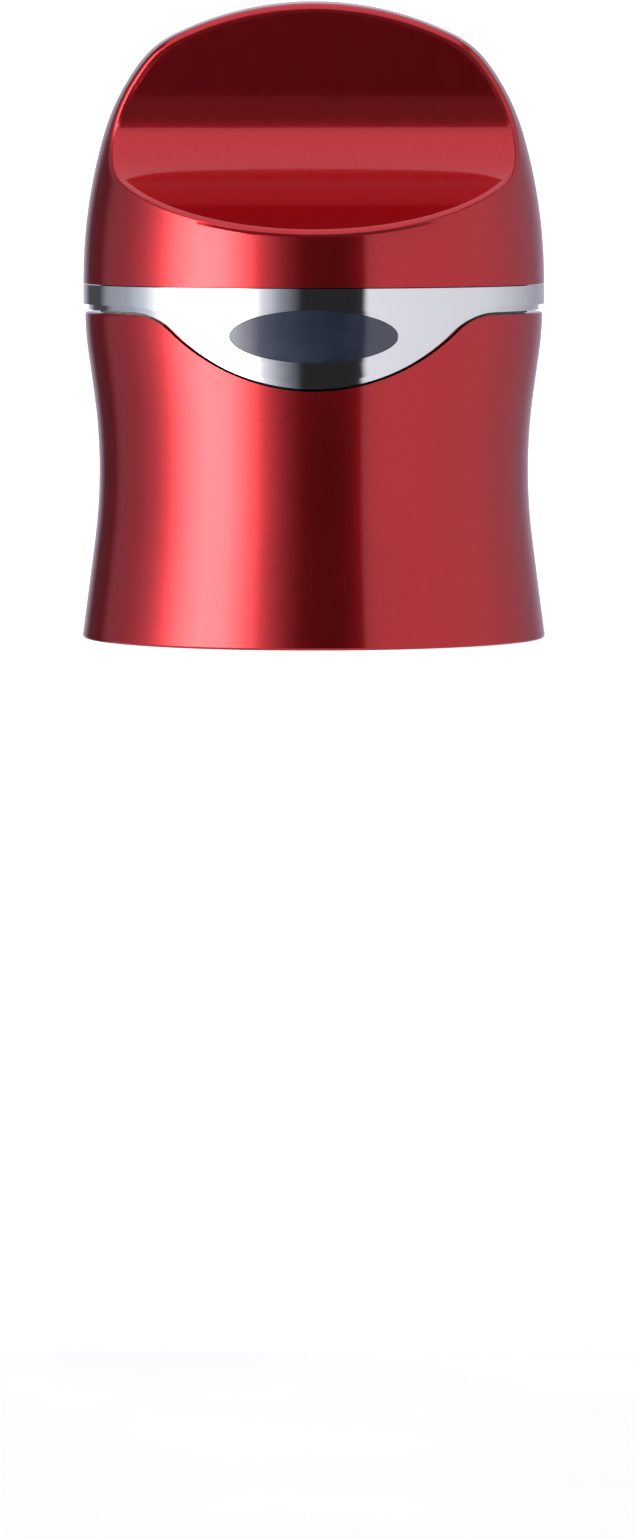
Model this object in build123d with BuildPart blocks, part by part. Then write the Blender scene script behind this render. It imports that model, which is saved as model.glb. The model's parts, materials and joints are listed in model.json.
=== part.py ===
"""Twist-lock sealer for sparkling-wine bottles.

A waisted skirt drops over the bottle's mouth. Turning the winged knob a quarter turn
pulls three hooked jaws in under the ring of the bottle's finish and drives a silicone
seal down onto its mouth. The knob turns a cam plate, whose spiral slots move the jaws,
and a sleeve, whose helical slots move the seal's plunger.

Millimetres. +Z is up, along the bottle's axis, and the origin is the centre of the
skirt's bottom rim. The shield and its oval badge face -Y. The jaws are closed and the
seal is down, which is the locked position; the knob unlocks by turning +90 degrees.
"""

from build123d import *
from math import cos, radians, sin, sqrt, tan
import os

# ---------------------------------------------------------------- bottle finish
bottle_ring_radius = 15.75  # widest ring of the finish, which the jaws hook under
bottle_bore_radius = 8.75  # bore of the bottle's mouth
finish_height = 17.5  # from under the ring up to the mouth

# ---------------------------------------------------------------- motion
jaw_travel = 2.0  # each jaw, radially, over the knob's turn
seal_lift = 2.5  # the plunger, along Z, over the knob's turn
knob_turn = 90.0  # degrees, locked to unlocked
jaw_angles = (90, 210, 330)
collar_screw_angles = (30, 150, 270)
base_screw_angles = (60, 180, 300)
cam_screw_angles = (45, 165, 285)
shell_screw_angles = (0, 90, 180, 270)

# ---------------------------------------------------------------- clearances
running = 0.15  # between pieces that turn or slide on each other
side_play = 0.2  # each side of a jaw in its slot
assembly_gap = 0.3  # between fixed pieces that only pass each other
press = 0.02  # radial, screws and pins in their holes
panel_gap = 0.25  # shadow gap between the collar and the skirt
knob_gap = 0.1  # joint line between the collar and the knob
washer_gap = 0.05  # between the glide washer and the knob's insert
slide_gap = 0.1  # below and above each jaw's slider
slot_clearance = 0.12  # pins in their slots
arm_clearance = 0.25  # jaw arms in the housing's slots, at each end of their travel
heel_clearance = 0.5  # housing's slots beyond the sliders' inner ends
slot_headroom = 1.0  # housing's slots above its deck
beyond = 2.0  # how far a cutting shape runs past what it cuts

# ---------------------------------------------------------------- stack along Z
foot_recess = 0.5  # base ring above the skirt's rim
base_ring_thickness = 1.8
hook_gap = 0.4  # hooks above the base ring
hook_thickness = 2.1
pad_thickness = 0.5
ring_clearance = 0.2  # pads below the bottle's ring
seal_squeeze = 0.8  # seal below the mouth's level when locked
seal_flange_thickness = 2.5
disc_thickness = 1.8
deck_thickness = 2.2
ledge_thickness = 1.5
cam_plate_thickness = 1.8
thrust_ring_thickness = 1.8
collar_flange_thickness = 1.2
washer_thickness = 0.3
insert_thickness = 2.05
band_upstand = 0.95  # band above the collar's flange
band_height = 2.05
step_height = 0.6  # ledge around the band and the shield

base_ring_z = foot_recess
housing_z = base_ring_z + base_ring_thickness
hook_z = housing_z + hook_gap
pad_z = hook_z + hook_thickness
mouth_z = pad_z + pad_thickness + ring_clearance + finish_height
seal_z = mouth_z - seal_squeeze
disc_z = seal_z + seal_flange_thickness
stem_z = disc_z + disc_thickness
deck_z = stem_z + seal_lift + assembly_gap
deck_top = deck_z + deck_thickness
cam_plate_z = deck_top + running
cam_plate_top = cam_plate_z + cam_plate_thickness
thrust_ring_z = cam_plate_top + running
flange_z = thrust_ring_z + thrust_ring_thickness
washer_z = flange_z + collar_flange_thickness
insert_z = washer_z + washer_thickness + washer_gap
insert_top = insert_z + insert_thickness
band_top = washer_z + band_upstand
band_bottom = band_top - band_height
skirt_height = band_bottom - step_height - panel_gap
knob_z = band_top + knob_gap

# ---------------------------------------------------------------- radii of the body
guide_clearance = 0.75  # bottle's ring to the base ring's bore
hook_bite = 0.75  # hooks under the ring
hook_chamfer = 0.9
arm_gap = 0.55  # bottle's ring to the arms
arm_thickness = 2.0
arm_width = 7.6
arm_cover = 0.6  # housing beyond the open arms
pad_inset = 0.3  # pads inside the hooks' sides
bore_step = 0.4  # housing's bore beyond the base ring's
lead_in = 0.7  # chamfer that guides the bottle in
skirt_wall = 1.6
seat_depth = 1.5  # depth of the skirt's upper seat in its bore
foot_seat_depth = 1.8  # depth of its lower seat
collar_flange_width = 4.0
shield_proud = 0.2  # collar's face over the skirt's
step_depth = 0.6  # ledge behind the collar's face
edge_radius = 0.3
washer_inset = 0.5  # glide washer inside the faces it runs between
collar_screw_inset = 2.5
base_screw_inset = 1.7
rim_wall = 0.3  # least wall between the cam plate's room and the collar's screws

# ---------------------------------------------------------------- fasteners
screw_radius = 0.85
screw_clearance = 0.2
screw_tip_gap = 0.2
head_radius = 1.7
head_height = 1.0
head_clearance = 0.2
head_recess = 1.1  # depth of the seats that bury a head
seal_screw_radius = 1.25
seal_screw_head_radius = 2.4
seal_screw_head_height = 1.2

pilot_radius = screw_radius + press
passage_radius = screw_radius + screw_clearance
recess_radius = head_radius + head_clearance

# ---------------------------------------------------------------- mechanism
pin_radius = 1.2
pin_reach = 13.5  # jaw pins from the axis when closed
pin_depth = 1.6  # dowels in the jaws
jaw_heel = 1.7  # jaw behind its pin
stem_radius = 4.2
tower_wall = 1.3
sleeve_wall = 1.55
cross_pin_radius = 1.0
cross_pin_rise = 12.5  # cross pin above the plunger's disc
stem_overrun = 3.0  # stem above the cross pin
stem_chamfer = 0.5
tower_overrun = 1.5  # tower above the stem
sleeve_setback = 0.5  # sleeve below the tower's top
pin_chamfer = 0.2
disc_radius = 13.0
cam_screw_circle = 9.9
cam_boss_radius = 2.3
cam_plate_border = 1.6
hub_wall = 2.1

# ---------------------------------------------------------------- radii of the housing
cam_plate_radius = pin_reach + jaw_travel + pin_radius + cam_plate_border
rim_bore = cam_plate_radius + assembly_gap
guide_radius = bottle_ring_radius + guide_clearance
hook_radius = bottle_ring_radius - hook_bite
arm_radius = bottle_ring_radius + arm_gap
arm_outer_radius = arm_radius + arm_thickness
housing_bore = guide_radius + bore_step
flange_overhang = assembly_gap + seat_depth - side_play
room_for_arms = arm_outer_radius + jaw_travel + arm_cover
room_for_screws = rim_bore + rim_wall + passage_radius + collar_screw_inset - flange_overhang
housing_radius = max(room_for_arms, room_for_screws)
skirt_bore = housing_radius + assembly_gap
seat_radius = skirt_bore + seat_depth
foot_seat_radius = skirt_bore + foot_seat_depth
flange_radius = housing_radius + flange_overhang

# ---------------------------------------------------------------- waisted outline
waist_radius = skirt_bore + skirt_wall
waist_share = 0.517  # waist's height over the skirt's
waist_sweep = 58.0  # radius of the curve through the waist
foot_angle = 7.4  # flare below the waist, degrees
top_angle = 8.0  # flare above the waist
top_sweep = 30.0  # radius that turns the upper flare upright

waist_z = waist_share * skirt_height
foot_tangent_r = waist_sweep * (1 - cos(radians(foot_angle)))
foot_tangent_z = waist_z - waist_sweep * sin(radians(foot_angle))
rim_radius = waist_radius + foot_tangent_r + foot_tangent_z * tan(radians(foot_angle))
top_tangent_r = waist_sweep * (1 - cos(radians(top_angle)))
top_tangent_z = waist_z + waist_sweep * sin(radians(top_angle))
upright_z = skirt_height - top_sweep * sin(radians(top_angle))
upright_r = top_tangent_r + (upright_z - top_tangent_z) * tan(radians(top_angle))
skirt_top_radius = waist_radius + upright_r + top_sweep * (1 - cos(radians(top_angle)))
band_radius = skirt_top_radius + shield_proud

# ---------------------------------------------------------------- shield and badge
shield_depth = 7.8  # lowest point of the skirt's notch below its top edge
shield_arc_radius = 21.6
shield_corner_radius = 5.5
badge_width = 18.5
badge_height = 6.4
badge_border = 0.45
badge_depth = 0.5
badge_proud = 0.1
badge_drop = 4.95  # badge's centre below the band's top

# ---------------------------------------------------------------- knob
knob_wall = 1.8
knob_lip = 0.25  # upright stretch at the knob's edge
side_arc = (55.6, 16.1)  # radius and swept angle of each arc, from the edge up
shoulder_arc = (24.0, 20.4)
corner_arc = (10.3, 27.3)
fin_thickness = 10.4  # at its middle, where the scoops are closest
scoop_radius = 10.8  # from the fin's wall to the scoop's floor
scoop_slope = 22.0  # fall of the floor towards the front, degrees
scoop_height = 5.7  # floor above the knob's edge, where it leaves the dome
scoop_edge_radius = 1.0
cavity_height = 12.3
shell_screw_bite = 4.5
cam_screw_bite = 4.5
base_screw_bite = 6.0
seal_screw_bite = 6.0
knob_screw_reach = 14.5
knob_boss_radius = 2.4

knob_radius = band_radius
cavity_top = knob_z + cavity_height
scoop_z = knob_z + scoop_height

# ---------------------------------------------------------------- radii of the mechanism
jaw_inner_reach = pin_reach - jaw_heel
tower_bore = stem_radius + running
tower_radius = tower_bore + tower_wall
sleeve_bore = tower_radius + running
sleeve_radius = sleeve_bore + sleeve_wall
cross_pin_z = stem_z + cross_pin_rise
stem_top = cross_pin_z + stem_overrun
tower_top = stem_top + tower_overrun
sleeve_top = tower_top - sleeve_setback
hub_radius = sleeve_radius + hub_wall
thrust_bore = cam_screw_circle + cam_boss_radius + side_play
ledge_bore = disc_radius + assembly_gap
collar_bore = flange_radius - collar_flange_width
collar_screw_circle = flange_radius - collar_screw_inset
base_screw_circle = housing_radius - base_screw_inset
insert_radius = min(knob_radius - knob_wall, seat_radius) - side_play
collar_seat_z = deck_z + head_height
collar_pilot_top = washer_z - side_play
base_pilot_top = housing_z + base_screw_bite
cam_pilot_top = cam_plate_top + cam_screw_bite
shell_pilot_top = insert_top + shell_screw_bite
seal_pilot_top = disc_z + seal_screw_bite

# ---------------------------------------------------------------- seal
plug_clearance = 0.6  # plug in the bottle's bore
lip_clearance = 0.1  # its sealing lips in the bore
plug_length = 6.0
plug_lips = 3
plug_chamfer = 0.6
seal_flange_radius = 12.6
seal_washer_radius = 5.6
seal_washer_thickness = 0.8
seal_edge_radius = 0.5

plug_radius = bottle_bore_radius - plug_clearance
lip_radius = bottle_bore_radius - lip_clearance
plug_z = seal_z - plug_length
seal_washer_z = plug_z - seal_washer_thickness

os.makedirs("parts", exist_ok=True)


def around(radius, angles):
    """Points on a circle about the axis."""
    return [(radius * cos(radians(a)), radius * sin(radians(a))) for a in angles]


on_axis = [(0, 0)]
collar_screw_points = around(collar_screw_circle, collar_screw_angles)
base_screw_points = around(base_screw_circle, base_screw_angles)
cam_screw_points = around(cam_screw_circle, cam_screw_angles)
shell_screw_points = around(knob_screw_reach, shell_screw_angles)


def jaw_plane(angle):
    """The upright plane through the axis at an angle: x runs outwards and y runs up."""
    outwards = (cos(radians(angle)), sin(radians(angle)), 0)
    sideways = (sin(radians(angle)), -cos(radians(angle)), 0)
    return Plane(origin=(0, 0, 0), x_dir=outwards, z_dir=sideways)


def tube(inner, outer, low, high):
    """A round tube about the axis between two heights."""
    with BuildPart() as pipe:
        with BuildSketch(Plane.XY.offset(low)):
            Circle(outer)
            Circle(inner, mode=Mode.SUBTRACT)
        extrude(amount=high - low)
    return pipe.part


def section(points):
    """A closed outline of straight stretches in the XZ plane."""
    with BuildSketch(Plane.XZ) as outline:
        with BuildLine():
            Polyline(*points, close=True)
        make_face()
    return outline.sketch


def posts(points, radius, low, high):
    """Equal upright cylinders at the given points, between two heights."""
    with BuildPart() as group:
        with BuildSketch(Plane.XY.offset(low)):
            with Locations(*points):
                Circle(radius)
        extrude(amount=high - low)
    return group.part


def pan_screw(point, seat_z, tip_z, shank, head, height):
    """An upward pan-head screw with a cross recess: its head hangs below its seat."""
    face_z = seat_z - height
    cross_length = 1.25 * head
    cross_width = 0.25 * head
    with BuildPart() as screw:
        add(posts([point], shank, seat_z, tip_z))
        add(posts([point], head, face_z, seat_z))
        with BuildSketch(Plane.XY.offset(face_z)):
            with Locations(point):
                Rectangle(cross_length, cross_width)
                Rectangle(cross_width, cross_length)
        extrude(amount=0.5 * height, mode=Mode.SUBTRACT)
    return screw.part


# ================================================================ skirt
def waisted_curve(grow):
    """The skirt's outer outline, moved out by grow, from the rim up to its top edge."""
    waist = waist_radius + grow
    low = (waist + foot_tangent_r, foot_tangent_z)
    high = (waist + top_tangent_r, top_tangent_z)
    upright = (waist + upright_r, upright_z)
    top = (skirt_top_radius + grow, skirt_height)
    Line((rim_radius + grow, 0), low)
    ThreePointArc(low, (waist, waist_z), high)
    Line(high, upright)
    TangentArc(upright, top, tangent=(sin(radians(top_angle)), cos(radians(top_angle))))


def body_section(grow):
    """Half of the waisted body as a face: the skirt's outline carried up to the band's top."""
    top_radius = skirt_top_radius + grow
    with BuildSketch(Plane.XZ) as outline:
        with BuildLine():
            waisted_curve(grow)
            Polyline(
                (top_radius, skirt_height),
                (top_radius, band_top),
                (0, band_top),
                (0, 0),
                (rim_radius + grow, 0),
            )
        make_face()
    return outline.sketch


def shield_outline(inset):
    """The region above the shield's edge, seen from the front.

    inset 0 is the notch in the skirt. A positive inset moves the edge into the shield.
    """
    edge_z = skirt_height + inset
    big = shield_arc_radius - inset
    small = shield_corner_radius + inset
    big_z = skirt_height - shield_depth + shield_arc_radius
    small_z = edge_z - small
    small_x = sqrt((big + small) ** 2 - (big_z - small_z) ** 2)
    touch_x = small_x * big / (big + small)
    touch_z = big_z - (big_z - small_z) * big / (big + small)
    reach = rim_radius + beyond
    roof = band_top + beyond
    with BuildSketch(Plane.XZ) as outline:
        with BuildLine():
            Line((-reach, edge_z), (-small_x, edge_z))
            TangentArc((-small_x, edge_z), (-touch_x, touch_z), tangent=(1, 0))
            ThreePointArc((-touch_x, touch_z), (0, big_z - big), (touch_x, touch_z))
            TangentArc((small_x, edge_z), (touch_x, touch_z), tangent=(-1, 0))
            Polyline((small_x, edge_z), (reach, edge_z), (reach, roof), (-reach, roof), (-reach, edge_z))
        make_face()
    return outline.sketch


with BuildPart() as skirt_shell:
    with BuildSketch(Plane.XZ):
        with BuildLine():
            waisted_curve(0)
            Polyline(
                (skirt_top_radius, skirt_height),
                (seat_radius, skirt_height),
                (seat_radius, deck_z),
                (skirt_bore, deck_z),
                (skirt_bore, housing_z),
                (foot_seat_radius, housing_z),
                (foot_seat_radius, 0),
                (rim_radius, 0),
            )
        make_face()
    revolve(axis=Axis.Z)
    rings = skirt_shell.edges().filter_by(GeomType.CIRCLE).group_by(Axis.Z)
    fillet([rings[0].sort_by(SortBy.LENGTH)[-1], rings[-1].sort_by(SortBy.LENGTH)[-1]], radius=edge_radius)
    extrude(shield_outline(0), amount=rim_radius + beyond, mode=Mode.SUBTRACT)
skirt_shell.part.label = "skirt_shell"
export_step(skirt_shell.part, "parts/skirt_shell.step")

# ================================================================ collar and badge
with BuildPart() as shield_face:
    revolve(body_section(shield_proud), axis=Axis.Z)
    extrude(shield_outline(panel_gap + step_height), amount=rim_radius + beyond, mode=Mode.INTERSECT)

with BuildPart() as shield_step:
    revolve(body_section(shield_proud - step_depth), axis=Axis.Z)
    extrude(shield_outline(panel_gap), amount=rim_radius + beyond, mode=Mode.INTERSECT)

with BuildPart() as badge_ellipse:
    with BuildSketch(Plane.XZ):
        with Locations((0, band_top - badge_drop)):
            Ellipse(badge_width / 2, badge_height / 2)
    extrude(amount=rim_radius + beyond)

with BuildPart() as badge_field:
    with BuildSketch(Plane.XZ):
        with Locations((0, band_top - badge_drop)):
            Ellipse(badge_width / 2 - badge_border, badge_height / 2 - badge_border)
    extrude(amount=rim_radius + beyond)

with BuildPart() as badge_bed:
    revolve(body_section(shield_proud - badge_depth), axis=Axis.Z)

with BuildPart() as collar:
    add(shield_face.part)
    add(shield_step.part)
    add(posts(on_axis, band_radius, band_bottom, band_top))
    add(posts(on_axis, band_radius - step_depth, band_bottom - step_height, band_bottom))
    revolve(
        section(
            [
                (0, 0),
                (skirt_bore + assembly_gap, 0),
                (skirt_bore + assembly_gap, deck_z - assembly_gap),
                (seat_radius, deck_z - assembly_gap),
                (seat_radius, flange_z),
                (collar_bore, flange_z),
                (collar_bore, washer_z),
                (seat_radius, washer_z),
                (seat_radius, band_top),
                (0, band_top),
            ]
        ),
        axis=Axis.Z,
        mode=Mode.SUBTRACT,
    )
    add(posts(collar_screw_points, pilot_radius, flange_z, collar_pilot_top), mode=Mode.SUBTRACT)
    add(badge_ellipse.part - badge_bed.part, mode=Mode.SUBTRACT)
collar.part.label = "collar"
export_step(collar.part, "parts/collar.step")

with BuildPart() as badge_rim:
    revolve(body_section(shield_proud + badge_proud), axis=Axis.Z)
    add(badge_ellipse.part - badge_field.part, mode=Mode.INTERSECT)
    add(badge_bed.part, mode=Mode.SUBTRACT)
badge_rim.part.label = "badge_rim"
export_step(badge_rim.part, "parts/badge_rim.step")

with BuildPart() as badge_plate:
    revolve(body_section(shield_proud), axis=Axis.Z)
    add(badge_field.part, mode=Mode.INTERSECT)
    add(badge_bed.part, mode=Mode.SUBTRACT)
badge_plate.part.label = "badge_plate"
export_step(badge_plate.part, "parts/badge_plate.step")


# ================================================================ knob
def dome_section(inset):
    """Half of the knob's dome as a face: four tangent arcs, all moved in by inset."""
    edge = knob_radius - inset
    crown_angle = 90 - side_arc[1] - shoulder_arc[1] - corner_arc[1]
    with BuildSketch(Plane.XZ) as outline:
        with BuildLine():
            lip = Line((edge, knob_z), (edge, knob_z + knob_lip))
            side = JernArc(lip @ 1, (0, 1), side_arc[0] - inset, side_arc[1])
            shoulder = JernArc(side @ 1, side % 1, shoulder_arc[0] - inset, shoulder_arc[1])
            corner = JernArc(shoulder @ 1, shoulder % 1, corner_arc[0] - inset, corner_arc[1])
            crown_radius = (corner @ 1).X / sin(radians(crown_angle))
            crown = JernArc(corner @ 1, corner % 1, crown_radius, crown_angle)
            Polyline(crown @ 1, (0, knob_z), (edge, knob_z))
        make_face()
    return outline.sketch


def scoop_pair(grow):
    """Both finger scoops: a wall, a hollow and a floor that falls outwards, extruded along X.

    A positive grow moves them into the knob, which gives the inside of its wall.
    """
    slope = radians(scoop_slope)
    wall = fin_thickness / 2 - grow
    hollow_radius = scoop_radius + grow
    hollow_y = wall + hollow_radius * (1 - sin(slope))
    hollow_low = scoop_z - grow / cos(slope) + (knob_radius - hollow_y) * tan(slope)
    hollow_top = hollow_low + hollow_radius * cos(slope)
    roof = knob_z + 2 * knob_radius
    outside = knob_radius + beyond
    floor_end = hollow_low - (outside - hollow_y) * tan(slope)
    with BuildPart() as pair:
        with BuildSketch(Plane.YZ):
            with BuildLine():
                Line((wall, roof), (wall, hollow_top))
                JernArc((wall, hollow_top), (0, -1), hollow_radius, 90 - scoop_slope)
                Polyline((hollow_y, hollow_low), (outside, floor_end), (outside, roof), (wall, roof))
            make_face()
        extrude(amount=knob_radius + beyond, both=True)
        mirror(about=Plane.XZ)
    return pair.part


with BuildPart() as knob_cavity:
    revolve(dome_section(knob_wall), axis=Axis.Z)
    add(posts(on_axis, knob_radius, cavity_top, cavity_top + 2 * knob_radius), mode=Mode.SUBTRACT)
    add(scoop_pair(knob_wall), mode=Mode.SUBTRACT)
    add(posts(shell_screw_points, knob_boss_radius, insert_top, cavity_top), mode=Mode.SUBTRACT)

with BuildPart() as knob_shell:
    revolve(dome_section(0), axis=Axis.Z)
    add(scoop_pair(0), mode=Mode.SUBTRACT)
    scoop_edges = knob_shell.edges(Select.LAST).filter_by(GeomType.LINE, reverse=True)
    fillet(scoop_edges, radius=scoop_edge_radius)
    add(knob_cavity.part, mode=Mode.SUBTRACT)
    add(posts(shell_screw_points, pilot_radius, insert_top, shell_pilot_top), mode=Mode.SUBTRACT)
knob_shell.part.label = "knob_shell"
export_step(knob_shell.part, "parts/knob_shell.step")

with BuildPart() as knob_insert:
    add(posts(on_axis, insert_radius, insert_z, insert_top))
    add(posts(on_axis, hub_radius, insert_top, sleeve_top))
    add(posts(cam_screw_points, cam_boss_radius, cam_plate_top, insert_z))
    add(posts(on_axis, sleeve_radius + press, cam_plate_top, sleeve_top), mode=Mode.SUBTRACT)
    add(posts(cam_screw_points, pilot_radius, cam_plate_top, cam_pilot_top), mode=Mode.SUBTRACT)
    add(posts(shell_screw_points, passage_radius, insert_z, insert_top), mode=Mode.SUBTRACT)
    add(posts(shell_screw_points, recess_radius, insert_z, insert_z + head_recess), mode=Mode.SUBTRACT)
knob_insert.part.label = "knob_insert"
export_step(knob_insert.part, "parts/knob_insert.step")


def helical_slot(low_z, rise, radius):
    """A left-handed slot through the drive sleeve over the knob's turn.

    Its round ends are a touch wider than its run.
    """
    width = 2 * (cross_pin_radius + slot_clearance)
    path = Helix(rise * 360 / knob_turn, rise, radius, center=(0, 0, low_z), lefthand=True)
    with BuildPart() as slot:
        with BuildSketch(Plane(origin=path @ 0, x_dir=(1, 0, 0), z_dir=path % 0)):
            Rectangle(3 * sleeve_wall, width - 2 * press)
        sweep(path=path, is_frenet=True)
        for z, angle in ((low_z, 0), (low_z + rise, -knob_turn)):
            with BuildSketch(Plane(origin=(0, 0, z), z_dir=(cos(radians(angle)), sin(radians(angle)), 0))):
                Circle(width / 2)
            extrude(amount=2 * radius)
    return slot.part


with BuildPart() as drive_sleeve:
    add(tube(sleeve_bore, sleeve_radius, cam_plate_top + running, sleeve_top))
    slot = helical_slot(cross_pin_z, seal_lift, (sleeve_bore + sleeve_radius) / 2)
    add(slot, mode=Mode.SUBTRACT)
    add(slot.rotate(Axis.Z, 180), mode=Mode.SUBTRACT)
drive_sleeve.part.label = "drive_sleeve"
export_step(drive_sleeve.part, "parts/drive_sleeve.step")

with BuildPart() as cam_plate:
    add(tube(tower_radius + assembly_gap, cam_plate_radius, cam_plate_z, cam_plate_top))
    for angle in jaw_angles:
        closed = around(pin_reach, [angle])[0]
        middle = around(pin_reach + jaw_travel / 2, [angle - knob_turn / 2])[0]
        opened = around(pin_reach + jaw_travel, [angle - knob_turn])[0]
        pin_path = ThreePointArc(closed, middle, opened, mode=Mode.PRIVATE)
        with BuildSketch(Plane.XY.offset(cam_plate_z)):
            SlotArc(pin_path, 2 * (pin_radius + slot_clearance))
        extrude(amount=cam_plate_thickness, mode=Mode.SUBTRACT)
    add(posts(cam_screw_points, passage_radius, cam_plate_z, cam_plate_top), mode=Mode.SUBTRACT)
    add(posts(cam_screw_points, recess_radius, cam_plate_z, cam_plate_z + head_recess), mode=Mode.SUBTRACT)
cam_plate.part.label = "cam_plate"
export_step(cam_plate.part, "parts/cam_plate.step")

# ================================================================ fixed body
with BuildPart() as base_ring:
    add(tube(guide_radius, foot_seat_radius - side_play, base_ring_z, housing_z))
    entry = base_ring.edges().filter_by(GeomType.CIRCLE).group_by(Axis.Z)[0].sort_by(SortBy.LENGTH)[0]
    chamfer(entry, length=lead_in)
    add(posts(base_screw_points, passage_radius, base_ring_z, housing_z), mode=Mode.SUBTRACT)
    add(posts(base_screw_points, recess_radius, base_ring_z, base_ring_z + head_height), mode=Mode.SUBTRACT)
base_ring.part.label = "base_ring"
export_step(base_ring.part, "parts/base_ring.step")

with BuildPart() as housing:
    revolve(
        section(
            [
                (housing_bore, housing_z),
                (housing_radius, housing_z),
                (housing_radius, deck_z),
                (flange_radius, deck_z),
                (flange_radius, thrust_ring_z),
                (rim_bore, thrust_ring_z),
                (rim_bore, deck_top),
                (tower_radius, deck_top),
                (tower_radius, tower_top),
                (tower_bore, tower_top),
                (tower_bore, deck_z),
                (ledge_bore, deck_z),
                (ledge_bore, deck_z - ledge_thickness),
                (housing_bore, deck_z - ledge_thickness),
            ]
        ),
        axis=Axis.Z,
    )
    for angle in jaw_angles:
        with BuildSketch(jaw_plane(angle)):
            with BuildLine():
                Polyline(
                    (arm_radius - arm_clearance, housing_z - beyond),
                    (housing_radius + beyond, housing_z - beyond),
                    (housing_radius + beyond, deck_z),
                    (arm_outer_radius + jaw_travel + arm_clearance, deck_z),
                    (arm_outer_radius + jaw_travel + arm_clearance, deck_top + slot_headroom),
                    (jaw_inner_reach - heel_clearance, deck_top + slot_headroom),
                    (jaw_inner_reach - heel_clearance, deck_z),
                    (arm_radius - arm_clearance, deck_z),
                    close=True,
                )
            make_face()
        extrude(amount=arm_width / 2 + side_play, both=True, mode=Mode.SUBTRACT)
    with BuildSketch(Plane.YZ):
        with Locations((0, cross_pin_z + seal_lift / 2)):
            Rectangle(2 * cross_pin_radius + running, seal_lift + 2 * cross_pin_radius + 2 * assembly_gap)
    extrude(amount=tower_radius + beyond, both=True, mode=Mode.SUBTRACT)
    add(posts(collar_screw_points, recess_radius, housing_z, collar_seat_z), mode=Mode.SUBTRACT)
    add(posts(collar_screw_points, passage_radius, housing_z, thrust_ring_z), mode=Mode.SUBTRACT)
    add(posts(base_screw_points, pilot_radius, housing_z, base_pilot_top), mode=Mode.SUBTRACT)
housing.part.label = "housing"
export_step(housing.part, "parts/housing.step")

with BuildPart() as thrust_ring:
    add(tube(thrust_bore, seat_radius - assembly_gap, thrust_ring_z, flange_z))
    add(posts(collar_screw_points, passage_radius, thrust_ring_z, flange_z), mode=Mode.SUBTRACT)
thrust_ring.part.label = "thrust_ring"
export_step(thrust_ring.part, "parts/thrust_ring.step")

with BuildPart() as glide_washer:
    washer_top = washer_z + washer_thickness
    add(tube(collar_bore + washer_inset, insert_radius - washer_inset, washer_z, washer_top))
glide_washer.part.label = "glide_washer"
export_step(glide_washer.part, "parts/glide_washer.step")

# ================================================================ plunger and seal
with BuildPart() as plunger:
    add(posts(on_axis, disc_radius, disc_z, stem_z))
    add(posts(on_axis, stem_radius, stem_z, stem_top))
    add(posts(on_axis, seal_screw_radius + press, disc_z, seal_pilot_top), mode=Mode.SUBTRACT)
    with BuildSketch(Plane.YZ):
        with Locations((0, cross_pin_z)):
            Circle(cross_pin_radius + press)
    extrude(amount=stem_radius + beyond, both=True, mode=Mode.SUBTRACT)
    top_rim = plunger.edges().filter_by(GeomType.CIRCLE).group_by(Axis.Z)[-1]
    chamfer(top_rim, length=stem_chamfer)
plunger.part.label = "plunger"
export_step(plunger.part, "parts/plunger.step")

with BuildPart() as cross_pin:
    with BuildSketch(Plane.YZ):
        with Locations((0, cross_pin_z)):
            Circle(cross_pin_radius)
    extrude(amount=sleeve_radius - running, both=True)
cross_pin.part.label = "cross_pin"
export_step(cross_pin.part, "parts/cross_pin.step")

with BuildPart() as seal:
    lip_pitch = (plug_length - 2 * plug_chamfer) / plug_lips
    with BuildSketch(Plane.XZ):
        with BuildLine():
            Polyline(
                (plug_radius, seal_z),
                (seal_flange_radius, seal_z),
                (seal_flange_radius, disc_z),
                (seal_screw_radius + screw_clearance, disc_z),
                (seal_screw_radius + screw_clearance, plug_z),
                (plug_radius - plug_chamfer, plug_z),
                (plug_radius, plug_z + plug_chamfer),
            )
            for index in range(plug_lips):
                low = plug_z + plug_chamfer + index * lip_pitch
                high = low + lip_pitch
                ThreePointArc((plug_radius, low), (lip_radius, (low + high) / 2), (plug_radius, high))
            Line((plug_radius, high), (plug_radius, seal_z))
        make_face()
    revolve(axis=Axis.Z)
    flange_edges = seal.edges().filter_by(GeomType.CIRCLE).sort_by(SortBy.LENGTH)[-2:]
    fillet(flange_edges, radius=seal_edge_radius)
seal.part.label = "seal"
export_step(seal.part, "parts/seal.step")

with BuildPart() as seal_washer:
    add(tube(seal_screw_radius + screw_clearance, seal_washer_radius, seal_washer_z, plug_z))
seal_washer.part.label = "seal_washer"
export_step(seal_washer.part, "parts/seal_washer.step")


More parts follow.
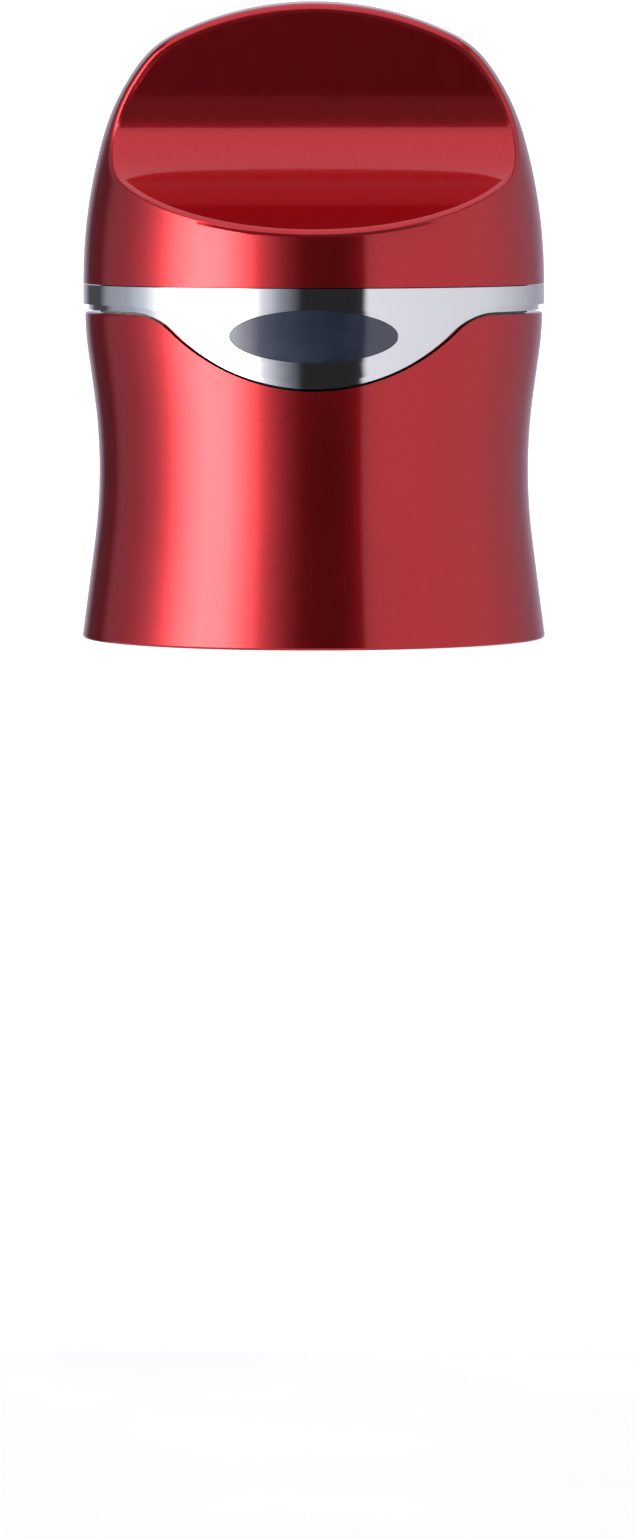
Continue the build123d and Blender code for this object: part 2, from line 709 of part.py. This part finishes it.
# ================================================================ jaws
def jaw_parts(angle):
    """One jaw, its dowel and its rubber pad."""
    upright = jaw_plane(angle)
    slider_z = deck_z + slide_gap
    slider_top = deck_top - slide_gap
    pin_bottom = slider_top - pin_depth
    pin_at = around(pin_reach, [angle])
    with BuildPart() as jaw:
        with BuildSketch(upright):
            with BuildLine():
                Polyline(
                    (jaw_inner_reach, slider_z),
                    (arm_radius, slider_z),
                    (arm_radius, pad_z),
                    (hook_radius, pad_z),
                    (hook_radius, hook_z + hook_chamfer),
                    (hook_radius + hook_chamfer, hook_z),
                    (arm_outer_radius, hook_z),
                    (arm_outer_radius, slider_top),
                    (jaw_inner_reach, slider_top),
                    close=True,
                )
            make_face()
        extrude(amount=arm_width / 2, both=True)
        add(posts(pin_at, pin_radius + press, pin_bottom, slider_top), mode=Mode.SUBTRACT)
    with BuildPart() as jaw_pin:
        add(posts(pin_at, pin_radius, pin_bottom, cam_plate_top - side_play))
        chamfer(jaw_pin.edges().group_by(Axis.Z)[-1], length=pin_chamfer)
    with BuildPart() as jaw_pad:
        with BuildSketch(upright):
            with Locations(((hook_radius + arm_radius) / 2, pad_z + pad_thickness / 2)):
                Rectangle(arm_radius - hook_radius, pad_thickness)
        extrude(amount=arm_width / 2 - pad_inset, both=True)
    return jaw.part, jaw_pin.part, jaw_pad.part


for number, angle in enumerate(jaw_angles, start=1):
    for name, solid in zip(("jaw", "jaw_pin", "jaw_pad"), jaw_parts(angle)):
        solid.label = f"{name}_{number}"
        export_step(solid, f"parts/{solid.label}.step")

# ================================================================ screws
screw_groups = (
    ("base_screw", base_screw_points, base_ring_z + head_height, base_pilot_top),
    ("collar_screw", collar_screw_points, collar_seat_z, collar_pilot_top),
    ("cam_screw", cam_screw_points, cam_plate_z + head_recess, cam_pilot_top),
    ("shell_screw", shell_screw_points, insert_z + head_recess, shell_pilot_top),
)
for name, points, seat_z, hole_top in screw_groups:
    for number, point in enumerate(points, start=1):
        tip_z = hole_top - screw_tip_gap
        solid = pan_screw(point, seat_z, tip_z, screw_radius, head_radius, head_height)
        solid.label = f"{name}_{number}"
        export_step(solid, f"parts/{solid.label}.step")

seal_screw = pan_screw(
    (0, 0),
    seal_washer_z,
    seal_pilot_top - screw_tip_gap,
    seal_screw_radius,
    seal_screw_head_radius,
    seal_screw_head_height,
)
seal_screw.label = "seal_screw"
export_step(seal_screw, "parts/seal_screw.step")
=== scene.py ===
"""Studio scene for the twist-lock bottle sealer."""
import json
from math import atan, cos, pi, radians, sin

import bpy
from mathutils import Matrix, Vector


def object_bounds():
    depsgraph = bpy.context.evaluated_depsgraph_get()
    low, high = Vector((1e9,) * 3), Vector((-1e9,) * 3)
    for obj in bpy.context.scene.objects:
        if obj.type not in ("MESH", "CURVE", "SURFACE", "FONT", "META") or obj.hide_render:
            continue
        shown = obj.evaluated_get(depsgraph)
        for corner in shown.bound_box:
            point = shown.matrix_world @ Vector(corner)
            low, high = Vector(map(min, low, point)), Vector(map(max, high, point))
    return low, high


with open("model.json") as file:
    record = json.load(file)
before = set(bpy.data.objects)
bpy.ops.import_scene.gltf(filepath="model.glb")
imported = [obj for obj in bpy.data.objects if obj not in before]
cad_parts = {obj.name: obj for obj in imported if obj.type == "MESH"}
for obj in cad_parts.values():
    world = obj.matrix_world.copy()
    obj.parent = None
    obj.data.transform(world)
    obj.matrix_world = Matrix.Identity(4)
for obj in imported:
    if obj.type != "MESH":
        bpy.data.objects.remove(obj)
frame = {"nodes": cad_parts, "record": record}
cad_box = [list(corner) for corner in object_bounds()]
nodes = frame["nodes"]
scene = bpy.context.scene


# ---------------------------------------------------------------- material helpers
def fill_ramp(ramp, stops):
    """Gives a colour ramp the stops (position, colour)."""
    elements = ramp.color_ramp.elements
    while len(elements) < len(stops):
        elements.new(0.5)
    for element, (position, colour) in zip(elements, stops):
        element.position = position
        element.color = (*colour, 1.0)


class Shader:
    """One material: a Principled shader, and the nodes that feed it."""

    def __init__(self, name):
        self.material = bpy.data.materials.new(name)
        self.material.use_nodes = True
        self.tree = self.material.node_tree
        self.tree.nodes.clear()
        self.output = self.add("ShaderNodeOutputMaterial")
        self.bsdf = self.add("ShaderNodeBsdfPrincipled")
        self.link(self.bsdf, "BSDF", self.output, "Surface")
        self.place = self.add("ShaderNodeTexCoord")

    def add(self, kind):
        return self.tree.nodes.new(kind)

    def link(self, source, output, target, socket):
        self.tree.links.new(source.outputs[output], target.inputs[socket])

    def set(self, **values):
        """Values on the shader's own sockets. An underscore stands for a space."""
        for key, value in values.items():
            self.bsdf.inputs[key.replace("_", " ")].default_value = value

    def noise(self, scale, detail, roughness=0.5, stretch=None):
        """Noise in the object's own space. stretch scales its axes, for brushing."""
        noise = self.add("ShaderNodeTexNoise")
        noise.inputs["Scale"].default_value = scale
        noise.inputs["Detail"].default_value = detail
        noise.inputs["Roughness"].default_value = roughness
        if stretch:
            mapping = self.add("ShaderNodeMapping")
            mapping.inputs["Scale"].default_value = stretch
            self.link(self.place, "Object", mapping, "Vector")
            self.link(mapping, "Vector", noise, "Vector")
        else:
            self.link(self.place, "Object", noise, "Vector")
        return noise

    def base_colour(self, source, output, stops):
        """Base colour from a colour ramp over the source."""
        ramp = self.add("ShaderNodeValToRGB")
        fill_ramp(ramp, stops)
        self.link(source, output, ramp, "Fac")
        self.link(ramp, "Color", self.bsdf, "Base Color")
        return ramp

    def roughness(self, source, low, high):
        """Roughness that follows the source's 0..1, stretched to low..high."""
        span = self.add("ShaderNodeMapRange")
        span.inputs["To Min"].default_value = low
        span.inputs["To Max"].default_value = high
        self.link(source, "Fac", span, "Value")
        self.link(span, "Result", self.bsdf, "Roughness")

    def bump(self, source, strength, distance):
        """A fine relief that follows the source. distance is in metres."""
        bump = self.add("ShaderNodeBump")
        bump.inputs["Strength"].default_value = strength
        bump.inputs["Distance"].default_value = distance
        self.link(source, "Fac", bump, "Height")
        self.link(bump, "Normal", self.bsdf, "Normal")


# ---------------------------------------------------------------- materials
def red_lacquer():
    """Metallic candy lacquer: fine flakes under a clear coat."""
    s = Shader("red_lacquer")
    flakes = s.add("ShaderNodeTexVoronoi")
    flakes.inputs["Scale"].default_value = 9000.0
    s.link(s.place, "Object", flakes, "Vector")
    s.base_colour(flakes, "Color", [(0.0, (0.50, 0.012, 0.018)), (1.0, (0.62, 0.022, 0.030))])
    orange_peel = s.noise(scale=900.0, detail=2.0)
    s.roughness(orange_peel, low=0.20, high=0.26)
    s.set(Metallic=0.93, Coat_Weight=1.0, Coat_Roughness=0.045, Coat_IOR=1.45)
    s.set(Specular_Tint=(0.75, 0.30, 0.42, 1.0))
    return s.material


def chrome():
    """Polished chrome plating with a faint haze."""
    s = Shader("chrome")
    haze = s.noise(scale=700.0, detail=4.0)
    s.base_colour(haze, "Fac", [(0.3, (0.92, 0.925, 0.935)), (0.7, (0.95, 0.95, 0.955))])
    s.roughness(haze, low=0.05, high=0.10)
    s.set(Metallic=1.0)
    return s.material


def dark_badge():
    """Dark blue-grey enamel under a gloss coat."""
    s = Shader("dark_badge")
    cloud = s.noise(scale=260.0, detail=3.0)
    s.base_colour(cloud, "Fac", [(0.3, (0.020, 0.026, 0.048)), (0.75, (0.045, 0.054, 0.085))])
    s.roughness(cloud, low=0.10, high=0.16)
    s.set(Metallic=0.35, Coat_Weight=1.0, Coat_Roughness=0.04, Coat_IOR=1.6)
    return s.material


def moulded(name, dark, light, rough, grain, depth):
    """Moulded plastic or rubber: mottled from dark to light, with a fine grain."""
    s = Shader(name)
    mottle = s.noise(scale=180.0, detail=3.0)
    s.base_colour(mottle, "Fac", [(0.3, dark), (0.7, light)])
    texture = s.noise(scale=grain, detail=4.0, roughness=0.6)
    s.roughness(texture, *rough)
    s.bump(texture, strength=0.35, distance=depth)
    return s.material


def steel():
    """Brushed steel, with the brushing drawn out along Y."""
    s = Shader("steel")
    brushing = s.noise(scale=1400.0, detail=4.0, roughness=0.6, stretch=(1.0, 0.12, 1.0))
    s.base_colour(brushing, "Fac", [(0.3, (0.50, 0.50, 0.51)), (0.7, (0.66, 0.66, 0.67))])
    s.roughness(brushing, low=0.22, high=0.38)
    s.bump(brushing, strength=0.15, distance=0.00002)
    s.set(Metallic=1.0)
    return s.material


def black_plastic():
    return moulded(
        "black_plastic",
        dark=(0.010, 0.010, 0.011),
        light=(0.022, 0.022, 0.023),
        rough=(0.38, 0.55),
        grain=2200.0,
        depth=0.00003,
    )


def acetal():
    return moulded(
        "acetal",
        dark=(0.62, 0.61, 0.57),
        light=(0.74, 0.73, 0.69),
        rough=(0.35, 0.45),
        grain=1500.0,
        depth=0.00001,
    )


def rubber():
    return moulded(
        "rubber",
        dark=(0.012, 0.012, 0.012),
        light=(0.025, 0.025, 0.025),
        rough=(0.6, 0.75),
        grain=2600.0,
        depth=0.00002,
    )


def silicone():
    return moulded(
        "silicone",
        dark=(0.10, 0.105, 0.115),
        light=(0.15, 0.155, 0.165),
        rough=(0.42, 0.55),
        grain=1800.0,
        depth=0.00001,
    )


# One material for each material slot of the record
materials = {
    "red_lacquer": red_lacquer(),
    "chrome": chrome(),
    "dark_badge": dark_badge(),
    "black_plastic": black_plastic(),
    "acetal": acetal(),
    "steel": steel(),
    "rubber": rubber(),
    "silicone": silicone(),
}

for entry in frame["record"]["subparts"]:
    mesh = nodes[entry["node"]].data
    mesh.materials.clear()
    mesh.materials.append(materials[entry["material_slot"]])


# ---------------------------------------------------------------- camera
# The camera stands in front, level with the knob. It looks a little down, which puts the
# object in the upper part of the picture.
centre_x = 0.0005
distance = 0.970
camera_height = 0.0586
aim_height = -0.0142
tilt = atan((camera_height - aim_height) / distance)

camera_data = bpy.data.cameras.new("camera")
camera_data.lens = 213.3
camera_data.sensor_width = 36.0
camera_data.clip_start = 0.05
camera_data.clip_end = 20.0
camera = bpy.data.objects.new("camera", camera_data)
camera.location = (centre_x, -distance, camera_height)
camera.rotation_euler = (pi / 2 - tilt, 0.0, 0.0)
scene.collection.objects.link(camera)
scene.camera = camera


# ---------------------------------------------------------------- studio helpers
def stage_mesh(name, points, faces, material):
    """A mesh of the set, which isn't part of the object."""
    mesh = bpy.data.meshes.new(name)
    mesh.from_pydata(points, [], faces)
    mesh.materials.append(material)
    obj = bpy.data.objects.new(name, mesh)
    scene.collection.objects.link(obj)
    return obj


def glow(name, strength, stops):
    """An emitter whose colour runs along its u coordinate through the stops."""
    material = bpy.data.materials.new(name)
    material.use_nodes = True
    tree = material.node_tree
    tree.nodes.clear()
    output = tree.nodes.new("ShaderNodeOutputMaterial")
    emission = tree.nodes.new("ShaderNodeEmission")
    emission.inputs["Strength"].default_value = strength
    uv = tree.nodes.new("ShaderNodeUVMap")
    split = tree.nodes.new("ShaderNodeSeparateXYZ")
    ramp = tree.nodes.new("ShaderNodeValToRGB")
    fill_ramp(ramp, stops)
    tree.links.new(uv.outputs["UV"], split.inputs["Vector"])
    tree.links.new(split.outputs["X"], ramp.inputs["Fac"])
    tree.links.new(ramp.outputs["Color"], emission.inputs["Color"])
    tree.links.new(emission.outputs["Emission"], output.inputs["Surface"])
    return material


def hide_card(card):
    """Keeps a card out of the picture and its shadow off the set. It still lights."""
    card.visible_camera = False
    card.visible_shadow = False


def ring_card(name, radius, low_z, high_z, stops):
    """A lit upright card bent round the object.

    stops are (azimuth, strength, colour). Azimuth 0 is towards the camera, and 90 towards
    +X. u runs from the first stop to the last.
    """
    columns = 96
    first = stops[0][0]
    last = stops[-1][0]
    turn = last - first
    strongest = max(strength for _, strength, _ in stops)
    ramp = []
    for azimuth, strength, colour in stops:
        share = strength / strongest
        ramp.append(((azimuth - first) / turn, tuple(share * channel for channel in colour)))

    points = []
    for column in range(columns + 1):
        angle = radians(first + turn * column / columns)
        for z in (low_z, high_z):
            points.append((radius * sin(angle), -radius * cos(angle), z))
    faces = [(2 * c, 2 * c + 1, 2 * c + 3, 2 * c + 2) for c in range(columns)]
    card = stage_mesh(name, points, faces, glow(name, strongest, ramp))
    layer = card.data.uv_layers.new(name="UVMap")
    for loop, uv in zip(card.data.loops, layer.data):
        uv.uv = ((loop.vertex_index // 2) / columns, loop.vertex_index % 2)
    hide_card(card)


def flat_card(name, half_width, near_y, far_y, z, strength, colour):
    """A level card of one even light, above or below the object."""
    points = [
        (-half_width, near_y, z),
        (half_width, near_y, z),
        (half_width, far_y, z),
        (-half_width, far_y, z),
    ]
    light = glow(name, strength, [(0.0, colour), (1.0, colour)])
    hide_card(stage_mesh(name, points, [(0, 1, 2, 3)], light))


def paper():
    """Pale seamless paper. It glows a little, so that it stays white to its edges."""
    s = Shader("paper")
    fibres = s.noise(scale=60.0, detail=4.0)
    colour = s.base_colour(fibres, "Fac", [(0.3, (0.86, 0.86, 0.865)), (0.7, (0.90, 0.90, 0.90))])
    s.link(colour, "Color", s.bsdf, "Emission Color")
    s.set(Emission_Strength=0.72, Roughness=0.9)
    return s.material


def paper_sweep(floor_z, front_y, bend_y, bend_radius, height, half_width):
    """Floor and backdrop as one sheet of paper with a wide bend between them."""
    steps = 24
    profile = [(front_y, floor_z), (bend_y, floor_z)]
    for step in range(1, steps + 1):
        angle = pi / 2 * step / steps
        y = bend_y + bend_radius * sin(angle)
        z = floor_z + bend_radius * (1 - cos(angle))
        profile.append((y, z))
    profile.append((bend_y + bend_radius, floor_z + height))
    points = [(x, y, z) for y, z in profile for x in (-half_width, half_width)]
    faces = [(2 * row, 2 * row + 1, 2 * row + 3, 2 * row + 2) for row in range(len(profile) - 1)]
    sheet = stage_mesh("paper_sweep", points, faces, paper())
    for polygon in sheet.data.polygons:
        polygon.use_smooth = True
    sheet.visible_glossy = False


# ---------------------------------------------------------------- studio
WARM = (1.0, 0.98, 0.96)
COOL = (0.93, 0.93, 1.0)
BLUE = (0.80, 0.86, 1.0)
VIOLET = (0.86, 0.84, 1.0)

paper_sweep(
    floor_z=cad_box[0][2],
    front_y=-3.0,
    bend_y=0.9,
    bend_radius=0.8,
    height=3.0,
    half_width=3.5,
)

# On a round side, the light at an azimuth shows at half that azimuth. The bright part makes
# the highlight on the left, and the black part makes the dark strip in the middle.
ring_card(
    "ring_card",
    radius=0.55,
    low_z=-0.25,
    high_z=0.62,
    stops=[
        (-180, 0.75, VIOLET),
        (-163, 0.55, VIOLET),
        (-150, 0.08, VIOLET),
        (-132, 0.07, BLUE),
        (-124, 0.33, BLUE),
        (-105, 0.42, BLUE),
        (-92, 0.72, BLUE),
        (-82, 1.20, WARM),
        (-70, 3.90, WARM),
        (-58, 6.20, WARM),
        (-46, 5.80, WARM),
        (-34, 2.60, WARM),
        (-26, 0.85, COOL),
        (-16, 0.32, BLUE),
        (-6, 0.02, COOL),
        (24, 0.02, COOL),
        (26, 0.82, COOL),
        (93, 0.72, COOL),
        (143, 0.40, VIOLET),
        (163, 0.50, VIOLET),
        (180, 0.75, VIOLET),
    ],
)

# A dim card in front and higher up, which lights the wall of the scoop
ring_card(
    "front_fill",
    radius=0.50,
    low_z=0.16,
    high_z=0.54,
    stops=[
        (-60, 0.07, COOL),
        (0, 0.10, COOL),
        (60, 0.26, COOL),
    ],
)
flat_card("overhead", half_width=0.7, near_y=-0.9, far_y=1.6, z=1.0, strength=0.92, colour=COOL)
flat_card("under_glow", half_width=0.6, near_y=-0.6, far_y=0.6, z=-0.26, strength=0.75, colour=COOL)

world = bpy.data.worlds.new("world")
scene.world = world
world.use_nodes = True
background = world.node_tree.nodes["Background"]
background.inputs["Color"].default_value = (0.9, 0.93, 1.0, 1.0)
background.inputs["Strength"].default_value = 0.12

scene.view_settings.view_transform = "Standard"
scene.view_settings.look = "None"
